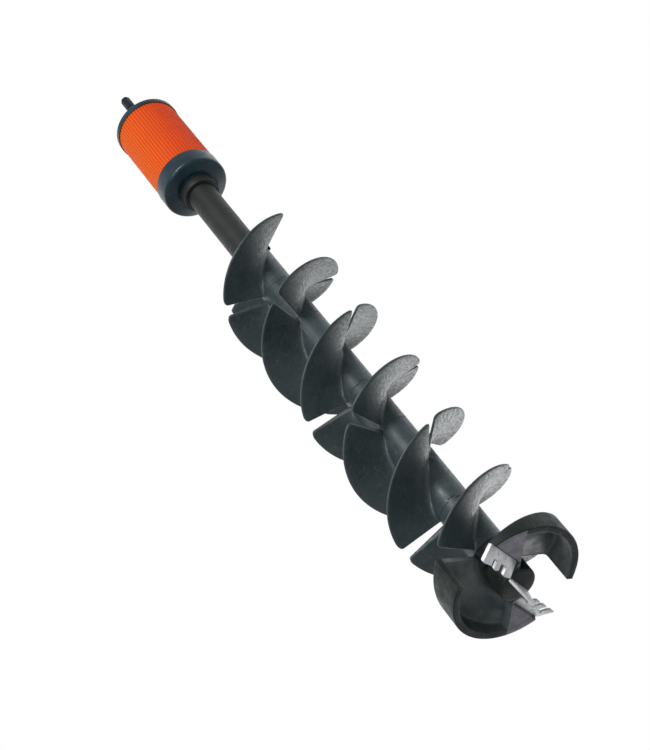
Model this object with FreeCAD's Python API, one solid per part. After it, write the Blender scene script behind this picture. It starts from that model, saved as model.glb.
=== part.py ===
import FreeCAD, Part

import math
import os

# Ice fishing auger for a cordless drill, millimetres, +Z up the auger towards the drill.
# The origin is the tip of the pilot point, on the auger's axis.

# Flighting: two flights, right-handed, on stacked modules
MODULE_COUNT = 8
MODULE_H = 68.27            # height of one module
MODULE_PITCH = 125.1        # how far one module is turned against its neighbour, degrees
FLIGHT_R = 73.4             # outer radius of the flights
GAP_DEG = 8.1               # open angle between a flight's end and the next module's flight
FLIGHT_STEP = 2.8           # how far a flight's end stands above the helix that the modules follow
TOP_START_DEG = -30.8       # where the top module's first flight begins
HELIX_Z = 645.1             # height at 0 degrees of the helix that the modules follow
FLIGHT_ROOT_T = 6.0         # flight thickness at the sleeve
FLIGHT_TIP_T = 3.0          # flight thickness at the rim
SLEEVE_R = 21.2             # outside of the module sleeves
BORE_R = 18.55              # bore of everything that sits on the tube
DOG_WIDTH = 9.0             # driving dogs between neighbouring sleeves
DOG_HEIGHT = 3.0
DOG_GAP = 0.15
DOG_DEG = 75.0              # where a sleeve's upper dogs stand, from its own start

# Drive tube and shank
TUBE_R = 18.5
TUBE_WALL = 2.2
TUBE_BOTTOM = 52.0
TUBE_TOP = 966.0
SHANK_R = 6.35              # half-inch drill chuck
SHANK_TOP = 1023.0
SPIGOT_R = 8.0              # the thicker root of the shank, inside the plug
SHOULDER = 0.5              # how far the root stands out of the plug
SHANK_CHAMFER = 1.0
FLATS_LENGTH = 20.0
FLAT_DEPTH = 0.8
PLUG_FLANGE = 4.0
PLUG_DEPTH = 36.0
PLUG_FLOOR = 4.0
CROSS_PIN_R = 2.5
CROSS_PIN_Z = 961.5

# Float
FLOAT_BOTTOM = 796.0
FLOAT_TOP = 953.6
BOTTOM_CAP_H = 27.5
TOP_CAP_H = 10.0
CAP_R = 43.0
SHELL_R = 41.8
SHELL_WALL = 2.6
CAP_FLOOR = 4.0
BUSH_R = 22.0
BUSH_LENGTH = 16.0
CAP_HUB_R = 26.0
CORE_BORE_R = 19.6
RIB_COUNT = 64
RIB_DEPTH = 0.5
CORE_GAP = 0.2              # between the foam core and the bushes
BOTTOM_CAP_ROUND = 6.0
TOP_CAP_ROUND = 3.0
COLLAR_R = 23.5
COLLAR_BOTTOM = 782.0
COLLAR_TOP = 794.0
WASHER_R = 25.0
LOWER_WASHER_GAP = 0.5
UPPER_WASHER_Z = FLOAT_TOP + 0.4
GROOVE_Z = FLOAT_TOP + 1.5
GROOVE_H = 1.8
GROOVE_DEPTH = 1.0
RETAINER_R = 21.0
SET_SCREW_R = 2.0
SET_SCREW_SOCKET_R = 1.1
SET_SCREW_SUNK = 0.5

# Snap button that locks the flighting on the tube
BUTTON_Z = 636.0
BUTTON_R = 3.5
BUTTON_TIP = 24.4
BUTTON_BACK = 9.0
BUTTON_DOME = 2.0
BUTTON_FLANGE_R = 5.2
BUTTON_FLANGE = (13.3, 14.8)
GUIDE_HALF = 8.0
GUIDE_GAP = 0.15
GUIDE_STEP = 5.0            # where the guide's bore narrows from the flange to the spring
LOCK_COLLAR_H = 11.0
SPRING_SEAT = -6.0
SPRING_R = 2.9
SPRING_WIRE_R = 0.35
SPRING_TURNS = 7
SPRING_PLAY = 0.05

# Cutting head
HEAD_R = 74.6
HEAD_BOTTOM = 34.0          # the plane of the rim
HUB_BOTTOM = 31.0
HUB_ROUND = 3.0
ARM_START_DEG = 49.0        # upper end of the first arm
ARM_END_DEG = -86.0         # cutting end of the first arm
ARM_SINK = 3.7              # from the last sleeve down to the top of the arm
ARM_DROP = 97.0             # fall of the arm in a full turn
ARM_T = 5.5
SKIRT_T = 8.0
HEEL_DEG = 30.0             # how much of the arm's cutting end is solid down to the rim
END_SUNK = 1.0              # how far the solid end lies inside the arm's top and outside
SEAT = (13.5, 28.0)         # where the flat above the blade begins and ends, behind the tips
SEAT_T = 7.0
SEAT_REACH_DEG = 6.0        # how far the flat stands out beyond the arm's end

# Blades, drawn flat: distance behind the tips against radius
BLADE_DEG = -100.0          # radial line of the first blade's teeth
TOOTH_TIP_Z = 28.0
BLADE_TILT = 29.0
BLADE_T = 4.0
BLADE_INNER_R = 22.0
BLADE_BACK = 20.8
BLADE_BACK_R = 73.8         # radius of the back corner
CUT_R = 76.2                # the outermost teeth cut a six-inch hole
TIP_FLAT = 2.0
TOOTH_RELIEF = 1.2
TEETH_A = ((BLADE_INNER_R, 35.5), (46.0, 53.5), (60.5, CUT_R))    # inner and outer radius of each tooth
TEETH_B = ((39.5, 46.0), (53.5, 60.0), (69.5, CUT_R))
TOOTH_DEPTH_A = 10.0        # from the tips back to the gaps between the teeth
TOOTH_DEPTH_B = 13.0
TOOTH_SLANT_A = 2.0         # how far a tooth's inner corner stands behind its tip
TOOTH_SLANT_B = 5.0
EDGE_ANGLE = 35.0
EDGE_BLOCK = 8.0
SCREW_POINTS = ((16.3, 42.8), (16.3, 56.8))
SCREW_R = 1.8
SCREW_HEAD_R = 3.1
SCREW_HEAD_H = 1.3
SCREW_GRIP = 3.0
SCREW_SOCKET = 1.2

# Centre point and the bolt through the hub
POINT_T = 4.0
POINT_HALF = 18.5
POINT_SHOULDER_Z = 33.0
TANG_HALF = 12.0
TANG_TOP = 48.0
POINT_BEVEL = 1.3
HEAD_BOLT_Z = 66.0
HEAD_BOLT_DEG = 60.0
HEAD_BOLT_R = 3.0
BOLT_HEAD_R = 5.2
BOLT_HEAD_H = 3.1
BOLT_HEAD_ROUND = 1.6
BOLT_END = 4.5
NUT_CORNER_R = 5.7
NUT_H = 3.9

UP = FreeCAD.Vector(0, 0, 1)
ORIGIN = FreeCAD.Vector(0, 0, 0)
X_AXIS = FreeCAD.Vector(1, 0, 0)
SMALL_GAP = 0.05
FLIGHT_SINK = 1.2           # how far a flight's root runs into its sleeve
STEP_DEG = 7.5              # spacing of the points that carry a helix

RISE = MODULE_H / MODULE_PITCH
FLIGHT_SPAN = MODULE_PITCH - GAP_DEG
FLIGHT_FALL = RISE - FLIGHT_STEP / FLIGHT_SPAN
FLIGHT_START_Z = HELIX_Z + TOP_START_DEG * RISE - FLIGHT_STEP / 2
STACK_TOP = HELIX_Z + (TOP_START_DEG + GAP_DEG / 2) * RISE
STACK_BOTTOM = STACK_TOP - MODULE_COUNT * MODULE_H
ARM_TOP_Z = STACK_BOTTOM - ARM_SINK
ARM_FALL = ARM_DROP / 360.0


def save(name, shape):
    """Write one node and print what it holds."""
    shape.exportStep("parts/%s.step" % name)
    print("%-18s solids %2d  volume %10.1f  valid %s"
          % (name, len(shape.Solids), shape.Volume, shape.isValid()))


def rod(radius, bottom, top):
    """A round bar on the auger's axis."""
    return Part.makeCylinder(radius, top - bottom, FreeCAD.Vector(0, 0, bottom), UP)


def ring(outer, inner, bottom, top):
    """A round ring on the auger's axis."""
    return rod(outer, bottom, top).cut(rod(inner, bottom - 1, top + 1))


def cross_rod(radius, x_from, x_to, height):
    """A round bar along X at a height on the axis."""
    return Part.makeCylinder(radius, x_to - x_from, FreeCAD.Vector(x_from, 0, height), X_AXIS)


def turned(shape, degrees, lift=0.0):
    """A copy turned about the auger's axis and lifted."""
    copy = shape.copy()
    copy.rotate(ORIGIN, UP, degrees)
    copy.translate(FreeCAD.Vector(0, 0, lift))
    return copy


def polar(radius, degrees, height):
    angle = math.radians(degrees)
    return FreeCAD.Vector(radius * math.cos(angle), radius * math.sin(angle), height)


def helix_edge(radius, start, end, height_at):
    """A smooth edge at one radius whose height is a function of the angle."""
    count = max(3, int(abs(end - start) / STEP_DEG) + 1)
    angles = [start + (end - start) * i / (count - 1) for i in range(count)]
    curve = Part.BSplineCurve()
    curve.interpolate([polar(radius, a, height_at(a)) for a in angles])
    return curve.toShape()


def helical_sweep(start, end, outline):
    """A closed solid whose section, from one angle to another, is an outline of (radius, height
    against the angle) corners."""
    edges = [helix_edge(radius, start, end, height_at) for radius, height_at in outline]
    faces = [Part.makeRuledSurface(edges[i], edges[(i + 1) % len(edges)]) for i in range(len(edges))]
    for angle in (start, end):
        corners = [polar(radius, angle, height_at(angle)) for radius, height_at in outline]
        faces.append(Part.Face(Part.makePolygon(corners + corners[:1])))
    shell = Part.Shell(faces)
    shell.sewShape()
    solid = Part.Solid(shell)
    if solid.Volume < 0:
        solid.reverse()
    return solid


def flight(start):
    """One flight of the top module: a helicoid that thins towards its rim."""
    def offset(half):
        return lambda angle: FLIGHT_START_Z - (start - angle) * FLIGHT_FALL + half
    root = SLEEVE_R - FLIGHT_SINK
    return helical_sweep(start, start - FLIGHT_SPAN,
                         [(root, offset(-FLIGHT_ROOT_T / 2)), (FLIGHT_R, offset(-FLIGHT_TIP_T / 2)),
                          (FLIGHT_R, offset(FLIGHT_TIP_T / 2)), (root, offset(FLIGHT_ROOT_T / 2))])


def dogs(joint, direction):
    """The pair of driving dogs that stand on a sleeve's upper end, at the joint's height."""
    block = Part.makeBox(2 * SLEEVE_R, DOG_WIDTH, DOG_HEIGHT,
                         FreeCAD.Vector(-SLEEVE_R, -DOG_WIDTH / 2, joint))
    return turned(block, direction).common(rod(SLEEVE_R, joint, joint + DOG_HEIGHT))


def dog_notches(joint, direction):
    """The cutter for the two notches that a neighbour's dogs enter."""
    width = DOG_WIDTH + 2 * DOG_GAP
    block = Part.makeBox(2 * SLEEVE_R + 2, width, DOG_HEIGHT + DOG_GAP + 1,
                         FreeCAD.Vector(-SLEEVE_R - 1, -width / 2, joint - 1))
    return turned(block, direction)


def flight_module():
    """The top module: a sleeve, two opposite flights, dogs on top and notches below."""
    top = STACK_TOP
    bottom = STACK_TOP - MODULE_H
    body = rod(SLEEVE_R, bottom + SMALL_GAP, top)
    body = body.fuse(dogs(top, DOG_DEG))
    for half_turn in (0, 180):
        body = body.fuse(flight(TOP_START_DEG + half_turn))
    body = body.cut(rod(BORE_R, bottom - 1, top + DOG_HEIGHT + 1))
    return body.cut(dog_notches(bottom, DOG_DEG - MODULE_PITCH)).removeSplitter()


def lock_collar():
    """The ring that closes the stack of modules and takes the snap button."""
    body = ring(SLEEVE_R, BORE_R, STACK_TOP + SMALL_GAP, STACK_TOP + LOCK_COLLAR_H)
    hole = cross_rod(BUTTON_R + SMALL_GAP, 0, BUTTON_TIP + 1, BUTTON_Z)
    return body.cut(dog_notches(STACK_TOP, DOG_DEG)).cut(hole)


def drive_tube():
    body = ring(TUBE_R, TUBE_R - TUBE_WALL, TUBE_BOTTOM, TUBE_TOP)
    groove = ring(TUBE_R + 1, TUBE_R - GROOVE_DEPTH, GROOVE_Z, GROOVE_Z + GROOVE_H)
    body = body.cut(groove)
    body = body.cut(cross_rod(CROSS_PIN_R, -TUBE_R - 1, TUBE_R + 1, CROSS_PIN_Z))
    body = body.cut(turned(cross_rod(HEAD_BOLT_R, -TUBE_R - 1, TUBE_R + 1, HEAD_BOLT_Z), HEAD_BOLT_DEG))
    return body.cut(cross_rod(BUTTON_R + SMALL_GAP, 0, TUBE_R + 1, BUTTON_Z))


def drive_shank():
    """The round shank for the drill chuck, with three flats, a chamfer and a thicker root."""
    shoulder = TUBE_TOP + PLUG_FLANGE + SHOULDER
    bar = rod(SHANK_R, shoulder, SHANK_TOP)
    top_edge = [e for e in bar.Edges if e.BoundBox.ZMin > SHANK_TOP - 0.01]
    bar = bar.makeChamfer(SHANK_CHAMFER, top_edge)
    for degrees in (90, 210, 330):
        corner = FreeCAD.Vector(SHANK_R - FLAT_DEPTH, -SHANK_R, SHANK_TOP - FLATS_LENGTH)
        bar = bar.cut(turned(Part.makeBox(SHANK_R, 2 * SHANK_R, FLATS_LENGTH, corner), degrees))
    bar = bar.fuse(rod(SPIGOT_R, TUBE_TOP - PLUG_DEPTH + PLUG_FLOOR, shoulder))
    return bar.cut(cross_rod(CROSS_PIN_R, -TUBE_R, TUBE_R, CROSS_PIN_Z))


def shank_plug():
    """The plug in the tube's top that holds the shank."""
    top = TUBE_TOP + PLUG_FLANGE
    body = rod(TUBE_R - TUBE_WALL - SMALL_GAP, TUBE_TOP - PLUG_DEPTH, TUBE_TOP)
    flange = rod(TUBE_R, TUBE_TOP, top)
    rim = [e for e in flange.Edges if e.BoundBox.ZMin > top - 0.01]
    body = body.fuse(flange.makeChamfer(SHANK_CHAMFER, rim))
    body = body.cut(rod(SPIGOT_R + SMALL_GAP, TUBE_TOP - PLUG_DEPTH + PLUG_FLOOR, top + 1))
    return body.cut(cross_rod(CROSS_PIN_R, -TUBE_R, TUBE_R, CROSS_PIN_Z))


def snap_button():
    """A round button with a domed end and a flange that stops it inside the tube."""
    stem = cross_rod(BUTTON_R, BUTTON_BACK, BUTTON_TIP, BUTTON_Z)
    tip_edge = [e for e in stem.Edges if e.BoundBox.XMin > BUTTON_TIP - 0.01]
    stem = stem.makeFillet(BUTTON_DOME, tip_edge)
    return stem.fuse(cross_rod(BUTTON_FLANGE_R, *BUTTON_FLANGE, BUTTON_Z))


def button_guide():
    """A plug in the tube, bored across for the button and its spring."""
    body = rod(TUBE_R - TUBE_WALL - GUIDE_GAP, BUTTON_Z - GUIDE_HALF, BUTTON_Z + GUIDE_HALF)
    body = body.cut(cross_rod(BUTTON_FLANGE_R + 2 * GUIDE_GAP, GUIDE_STEP, TUBE_R, BUTTON_Z))
    return body.cut(cross_rod(BUTTON_R + 4 * GUIDE_GAP, SPRING_SEAT, GUIDE_STEP + 1, BUTTON_Z))


def button_spring():
    """A compression spring between the guide's bore and the button."""
    height = BUTTON_BACK - SPRING_SEAT - 2 * (SPRING_WIRE_R + SPRING_PLAY)
    path = Part.makeHelix(height / SPRING_TURNS, height, SPRING_R)
    start = FreeCAD.Vector(SPRING_R, 0, 0)
    section = Part.Wire(Part.makeCircle(SPRING_WIRE_R, start, FreeCAD.Vector(0, 1, 0)))
    coil = Part.Wire(path.Edges).makePipeShell([section], True, True)
    coil.rotate(ORIGIN, FreeCAD.Vector(0, 1, 0), 90)
    coil.translate(FreeCAD.Vector(SPRING_SEAT + SPRING_WIRE_R + SPRING_PLAY, 0, BUTTON_Z))
    return coil


def float_shell():
    """The ribbed body of the float."""
    body = ring(SHELL_R, SHELL_R - SHELL_WALL, FLOAT_BOTTOM + CAP_FLOOR, FLOAT_TOP - CAP_FLOOR)
    low = FLOAT_BOTTOM + BOTTOM_CAP_H
    high = FLOAT_TOP - TOP_CAP_H
    width = math.pi * SHELL_R / RIB_COUNT
    groove = Part.makeBox(RIB_DEPTH + 1, width, high - low,
                          FreeCAD.Vector(SHELL_R - RIB_DEPTH, -width / 2, low))
    grooves = [turned(groove, 360.0 * i / RIB_COUNT) for i in range(RIB_COUNT)]
    return body.cut(Part.makeCompound(grooves))


def float_core():
    low = FLOAT_BOTTOM + BUSH_LENGTH + CORE_GAP
    high = FLOAT_TOP - BUSH_LENGTH - CORE_GAP
    return ring(SHELL_R - SHELL_WALL - SMALL_GAP, CORE_BORE_R, low, high)


def bottom_cap():
    """The lower cap: a rounded cup with a hub for the bush and a recess round the tube."""
    top = FLOAT_BOTTOM + BOTTOM_CAP_H
    cup = rod(CAP_R, FLOAT_BOTTOM, top)
    low_edge = [e for e in cup.Edges if e.BoundBox.ZMax < FLOAT_BOTTOM + 0.01]
    cup = cup.makeFillet(BOTTOM_CAP_ROUND, low_edge)
    cup = cup.cut(ring(SHELL_R + SMALL_GAP, CAP_HUB_R, FLOAT_BOTTOM + CAP_FLOOR, top + 1))
    cup = cup.cut(rod(CAP_HUB_R, FLOAT_BOTTOM + BUSH_LENGTH, top + 1))
    return cup.cut(rod(BUSH_R, FLOAT_BOTTOM - 1, top + 1))


def top_cap():
    """The upper cap, shallower than the lower one."""
    bottom = FLOAT_TOP - TOP_CAP_H
    cup = rod(CAP_R, bottom, FLOAT_TOP)
    high_edge = [e for e in cup.Edges if e.BoundBox.ZMin > FLOAT_TOP - 0.01]
    cup = cup.makeFillet(TOP_CAP_ROUND, high_edge)
    cup = cup.cut(ring(SHELL_R + SMALL_GAP, CAP_HUB_R, bottom - 1, FLOAT_TOP - CAP_FLOOR))
    cup = cup.fuse(rod(CAP_HUB_R, FLOAT_TOP - BUSH_LENGTH, FLOAT_TOP - CAP_FLOOR))
    return cup.cut(rod(BUSH_R, FLOAT_TOP - BUSH_LENGTH - 1, FLOAT_TOP + 1))


def float_collar():
    body = ring(COLLAR_R, BORE_R, COLLAR_BOTTOM, COLLAR_TOP)
    return body.cut(cross_rod(SET_SCREW_R, 0, COLLAR_R + 1, (COLLAR_BOTTOM + COLLAR_TOP) / 2))


def collar_set_screw():
    height = (COLLAR_BOTTOM + COLLAR_TOP) / 2
    screw = cross_rod(SET_SCREW_R - SMALL_GAP, TUBE_R + SMALL_GAP, COLLAR_R - SET_SCREW_SUNK, height)
    return screw.cut(cross_rod(SET_SCREW_SOCKET_R, COLLAR_R - SET_SCREW_R, COLLAR_R, height))


def arm_height(offset):
    """Height of the first arm's top surface against the angle, less an offset."""
    return lambda angle: ARM_TOP_Z - (ARM_START_DEG - angle) * ARM_FALL - offset


def head_arm():
    """One arm: a helicoid that falls to the blade, with a skirt down to the rim, a solid end
    behind the blade and a flat above it."""
    def rim(angle):
        return HEAD_BOTTOM
    root = SLEEVE_R - FLIGHT_SINK
    skirt_r = HEAD_R - SKIRT_T
    end_r = HEAD_R - END_SUNK
    arm = helical_sweep(ARM_START_DEG, ARM_END_DEG,
                        [(root, arm_height(ARM_T)), (skirt_r, arm_height(ARM_T)), (skirt_r, rim),
                         (HEAD_R, rim), (HEAD_R, arm_height(0)), (root, arm_height(0))])
    solid = [(root, rim), (end_r, rim), (end_r, arm_height(END_SUNK)), (root, arm_height(END_SUNK))]
    heel = helical_sweep(ARM_END_DEG + HEEL_DEG, ARM_END_DEG, solid)
    room = helical_sweep(ARM_END_DEG + HEEL_DEG, ARM_END_DEG - SEAT_REACH_DEG, solid)
    seat = blade_box(BLADE_INNER_R, HEAD_R, SEAT, (BLADE_T, BLADE_T + SEAT_T))
    return arm.fuse(heel).fuse(seat.common(room))


def blade_frame(shape):
    """Place a shape drawn in the blade's own frame: X behind the tips, -Y outward, Z up."""
    shape.rotate(ORIGIN, FreeCAD.Vector(0, 1, 0), -BLADE_TILT)
    shape.translate(FreeCAD.Vector(0, 0, TOOTH_TIP_Z))
    shape.rotate(ORIGIN, UP, BLADE_DEG + 90)
    return shape


def blade_box(inner, outer, behind, heights):
    """A block in the blade's frame, between two radii, two distances behind the tips and two
    heights above the blade's underside."""
    size = FreeCAD.Vector(behind[1] - behind[0], outer - inner, heights[1] - heights[0])
    return blade_frame(Part.makeBox(*size, FreeCAD.Vector(behind[0], -outer, heights[0])))


def blade(teeth, depth, slant):
    """A chipper blade: a plate whose front is cut into teeth, each between two radii."""
    outline = [(BLADE_BACK, BLADE_INNER_R)]
    if teeth[0][0] > BLADE_INNER_R:
        outline.append((depth, BLADE_INNER_R))
    for inner, outer in teeth:
        outline += [(depth, inner), (slant, inner), (0.0, outer - TIP_FLAT), (TIP_FLAT / 2, outer),
                    (depth, outer - TOOTH_RELIEF)]
    outline.append((BLADE_BACK, BLADE_BACK_R))
    points = [FreeCAD.Vector(x, -r, 0) for x, r in outline]
    plate = Part.Face(Part.makePolygon(points + points[:1])).extrude(FreeCAD.Vector(0, 0, BLADE_T))
    edge = Part.makeBox(EDGE_BLOCK, 2 * HEAD_R, EDGE_BLOCK, FreeCAD.Vector(-EDGE_BLOCK, -2 * HEAD_R, 0))
    edge.rotate(ORIGIN, FreeCAD.Vector(0, 1, 0), EDGE_ANGLE)
    plate = plate.cut(edge)
    for x, radius in SCREW_POINTS:
        plate = plate.cut(screw_body(x, radius, SMALL_GAP))
    return blade_frame(plate)


def screw_body(x, radius, gap):
    """A countersunk screw in the blade's frame, or with a gap the hole that takes it."""
    place = FreeCAD.Vector(x, -radius, 0)
    head = Part.makeCone(SCREW_HEAD_R + gap, SCREW_R + gap, SCREW_HEAD_H, place)
    return head.fuse(Part.makeCylinder(SCREW_R + gap, BLADE_T + SCREW_GRIP + gap, place))


def blade_screw(x, radius):
    """A countersunk screw with a socket, driven from below into the seat."""
    socket = Part.makeCylinder(SCREW_SOCKET, SCREW_HEAD_H, FreeCAD.Vector(x, -radius, 0))
    return blade_frame(screw_body(x, radius, 0.0).cut(socket))


def blade_screws():
    first = [blade_screw(x, radius) for x, radius in SCREW_POINTS]
    second = [turned(screw, 180) for screw in first]
    return Part.makeCompound(first + second)


def point_plate(gap):
    """The plate of the centre point in the blades' radial plane, or with a gap its slot."""
    half, tang = POINT_HALF + gap, TANG_HALF + gap
    outline = [(0.0, 0.0), (half, HUB_BOTTOM), (half, POINT_SHOULDER_Z + gap), (tang, POINT_SHOULDER_Z + gap),
               (tang, TANG_TOP + gap), (-tang, TANG_TOP + gap), (-tang, POINT_SHOULDER_Z + gap),
               (-half, POINT_SHOULDER_Z + gap), (-half, HUB_BOTTOM)]
    thick = POINT_T + 2 * gap
    points = [FreeCAD.Vector(r, -thick / 2, z) for r, z in outline]
    plate = Part.Face(Part.makePolygon(points + points[:1])).extrude(FreeCAD.Vector(0, thick, 0))
    return turned(plate, BLADE_DEG)


def pilot_point():
    """The flat centre point, bevelled along its two cutting edges."""
    plate = point_plate(0.0)
    edges = [e for e in plate.Edges if e.BoundBox.ZMin < 1 and e.BoundBox.ZMax > HUB_BOTTOM - 1]
    return plate.makeChamfer(POINT_BEVEL, edges)


def head_bolt():
    """The cross bolt through the head and the tube, with a domed head."""
    face = SLEEVE_R + 2 * SMALL_GAP
    bolt = cross_rod(HEAD_BOLT_R, -SLEEVE_R - BOLT_END, face, HEAD_BOLT_Z)
    head = cross_rod(BOLT_HEAD_R, face, face + BOLT_HEAD_H, HEAD_BOLT_Z)
    outer = [e for e in head.Edges if e.BoundBox.XMin > face + BOLT_HEAD_H - 0.01]
    return turned(bolt.fuse(head.makeFillet(BOLT_HEAD_ROUND, outer)), HEAD_BOLT_DEG)


def head_nut():
    """The hexagon nut on the cross bolt."""
    face = -SLEEVE_R - 2 * SMALL_GAP
    corners = []
    for i in range(7):
        angle = math.radians(60 * i)
        corners.append(FreeCAD.Vector(face, NUT_CORNER_R * math.cos(angle),
                                      HEAD_BOLT_Z + NUT_CORNER_R * math.sin(angle)))
    nut = Part.Face(Part.makePolygon(corners)).extrude(FreeCAD.Vector(-NUT_H, 0, 0))
    return turned(nut.cut(cross_rod(HEAD_BOLT_R, face - NUT_H - 1, 0, HEAD_BOLT_Z)), HEAD_BOLT_DEG)


def cutting_head():
    """The cast head: a hub on the tube's end with two arms, bored for the bolt and slotted for
    the centre point."""
    hub = rod(SLEEVE_R, HUB_BOTTOM, STACK_BOTTOM)
    low_edge = [e for e in hub.Edges if e.BoundBox.ZMax < HUB_BOTTOM + 0.01]
    hub = hub.makeFillet(HUB_ROUND, low_edge)
    hub = hub.fuse(dogs(STACK_BOTTOM, DOG_DEG - MODULE_COUNT * MODULE_PITCH))
    arm = head_arm()
    body = hub.fuse(arm).fuse(turned(arm, 180))
    body = body.cut(rod(BORE_R, TUBE_BOTTOM, STACK_BOTTOM + DOG_HEIGHT + 1))
    body = body.cut(point_plate(SMALL_GAP))
    body = body.cut(turned(cross_rod(HEAD_BOLT_R, -SLEEVE_R - 2, SLEEVE_R + 2, HEAD_BOLT_Z), HEAD_BOLT_DEG))
    pocket = blade_box(SLEEVE_R + 4 * SMALL_GAP, CUT_R + 2, (-TOOTH_TIP_Z / 2, BLADE_BACK + SMALL_GAP),
                       (-TOOTH_TIP_Z / 2, BLADE_T))
    for degrees in (0, 180):
        body = body.cut(turned(pocket, degrees))
        for x, radius in SCREW_POINTS:
            body = body.cut(turned(blade_frame(screw_body(x, radius, SMALL_GAP)), degrees))
    return body.removeSplitter()


os.makedirs("parts", exist_ok=True)

save("drive_shank", drive_shank())
save("shank_plug", shank_plug())
save("shank_cross_pin", cross_rod(CROSS_PIN_R, -TUBE_R, TUBE_R, CROSS_PIN_Z))
save("drive_tube", drive_tube())
save("lock_collar", lock_collar())
save("snap_button", snap_button())
save("button_guide", button_guide())
save("button_spring", button_spring())

top_module = flight_module()
for index in range(MODULE_COUNT):
    save("flight_module_%d" % (index + 1), turned(top_module, -MODULE_PITCH * index, -MODULE_H * index))

save("float_shell", float_shell())
save("float_core", float_core())
save("float_bottom_cap", bottom_cap())
save("float_top_cap", top_cap())
save("float_lower_bush", ring(BUSH_R, BORE_R, FLOAT_BOTTOM, FLOAT_BOTTOM + BUSH_LENGTH))
save("float_upper_bush", ring(BUSH_R, BORE_R, FLOAT_TOP - BUSH_LENGTH, FLOAT_TOP))
save("float_collar", float_collar())
save("collar_set_screw", collar_set_screw())
save("lower_washer", ring(WASHER_R, BORE_R, COLLAR_TOP, FLOAT_BOTTOM - LOWER_WASHER_GAP))
save("upper_washer", ring(WASHER_R, BORE_R, UPPER_WASHER_Z, GROOVE_Z))
save("retaining_ring", ring(RETAINER_R, TUBE_R - GROOVE_DEPTH, GROOVE_Z + SMALL_GAP,
                            GROOVE_Z + GROOVE_H - SMALL_GAP))

save("cutting_head", cutting_head())
save("blade_a", blade(TEETH_A, TOOTH_DEPTH_A, TOOTH_SLANT_A))
save("blade_b", turned(blade(TEETH_B, TOOTH_DEPTH_B, TOOTH_SLANT_B), 180))
save("blade_screws", blade_screws())
save("pilot_point", pilot_point())
save("head_bolt", head_bolt())
save("head_nut", head_nut())
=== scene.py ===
import math

import bmesh
import bpy
from mathutils import Matrix, Vector

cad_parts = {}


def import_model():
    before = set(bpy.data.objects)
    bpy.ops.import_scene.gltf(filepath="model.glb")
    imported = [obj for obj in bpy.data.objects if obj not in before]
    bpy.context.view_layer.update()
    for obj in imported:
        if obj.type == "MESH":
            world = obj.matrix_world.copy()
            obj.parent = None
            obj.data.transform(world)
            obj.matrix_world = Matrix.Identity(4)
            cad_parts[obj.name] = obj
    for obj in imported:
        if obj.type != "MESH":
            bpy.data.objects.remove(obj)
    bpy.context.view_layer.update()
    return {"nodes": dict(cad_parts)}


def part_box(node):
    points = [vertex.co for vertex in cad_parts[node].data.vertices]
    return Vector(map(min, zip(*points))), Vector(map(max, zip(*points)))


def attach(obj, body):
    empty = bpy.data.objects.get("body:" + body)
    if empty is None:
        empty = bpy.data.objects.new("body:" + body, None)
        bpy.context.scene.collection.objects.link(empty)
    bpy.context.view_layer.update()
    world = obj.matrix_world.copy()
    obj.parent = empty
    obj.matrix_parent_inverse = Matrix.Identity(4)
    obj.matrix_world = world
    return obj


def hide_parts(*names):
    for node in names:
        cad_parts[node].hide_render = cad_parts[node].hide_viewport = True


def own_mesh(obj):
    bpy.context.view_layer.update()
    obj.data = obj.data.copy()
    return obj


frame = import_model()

NODES = frame["nodes"]

# The camera looks up at the auger from below and in front, turned so that the shank points up-left.
AIM = Vector((-0.0198, 0.0, 0.4179))
CAMERA_DISTANCE = 2.353
CAMERA_RISE = -41.8
CAMERA_ROLL = 38.58
CAMERA_LENS = 99.5
FLOOR_Z = -2.6

# Driving sizes of the design, in metres and degrees, as the CAD model has them
MODULE_COUNT = 8
MODULE_H = 0.06827
MODULE_PITCH = 125.1
GAP_DEG = 8.1
FLIGHT_STEP = 0.0028
TOP_START_DEG = -30.8
HELIX_Z = 0.6451
DOG_DEG = 75.0
DOG_WIDTH = 0.009
DOG_HEIGHT = 0.003
ARM_START_DEG = 49.0
ARM_END_DEG = -86.0
ARM_DROP = 0.097
BLADE_DEG = -100.0
BLADE_TILT = 29.0
BORE_R = 0.01855
SEAM = 0.00005              # gap between neighbouring sleeves

RISE = MODULE_H / MODULE_PITCH
FLIGHT_SPAN = MODULE_PITCH - GAP_DEG
FLIGHT_FALL = RISE - FLIGHT_STEP / FLIGHT_SPAN
FLIGHT_START_Z = HELIX_Z + TOP_START_DEG * RISE - FLIGHT_STEP / 2
SLEEVE_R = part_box("lock_collar")[1].x
FLIGHT_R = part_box("flight_module_3")[1].x
STACK_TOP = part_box("lock_collar")[0].z - SEAM
STACK_BOTTOM = STACK_TOP - MODULE_COUNT * MODULE_H


# Shading: faces that meet at less than this angle are shaded as one smooth surface, degrees
SMOOTH_DEG = 38
BLADE_SMOOTH_DEG = 25
ROUNDED_SMOOTH_DEG = 40


# ---------------------------------------------------------------- meshes

def polar(radius, degrees, height):
    angle = math.radians(degrees)
    return Vector((radius * math.cos(angle), radius * math.sin(angle), height))


def mesh_object(name, points, faces):
    """A piece from points and faces, with hard edges only where faces meet sharply."""
    mesh = bpy.data.meshes.new(name)
    mesh.from_pydata([tuple(p) for p in points], [], faces)
    mesh.validate()
    piece = bpy.data.objects.new(name, mesh)
    bpy.context.scene.collection.objects.link(piece)
    outward(piece)
    shade(piece, SMOOTH_DEG)
    return piece


def outward(piece):
    """Turn every face outward."""
    work = bmesh.new()
    work.from_mesh(piece.data)
    bmesh.ops.recalc_face_normals(work, faces=work.faces)
    work.to_mesh(piece.data)
    work.free()


def shade(piece, smooth_below):
    piece.data.shade_smooth()
    piece.data.set_sharp_from_angle(angle=math.radians(smooth_below))


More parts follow.
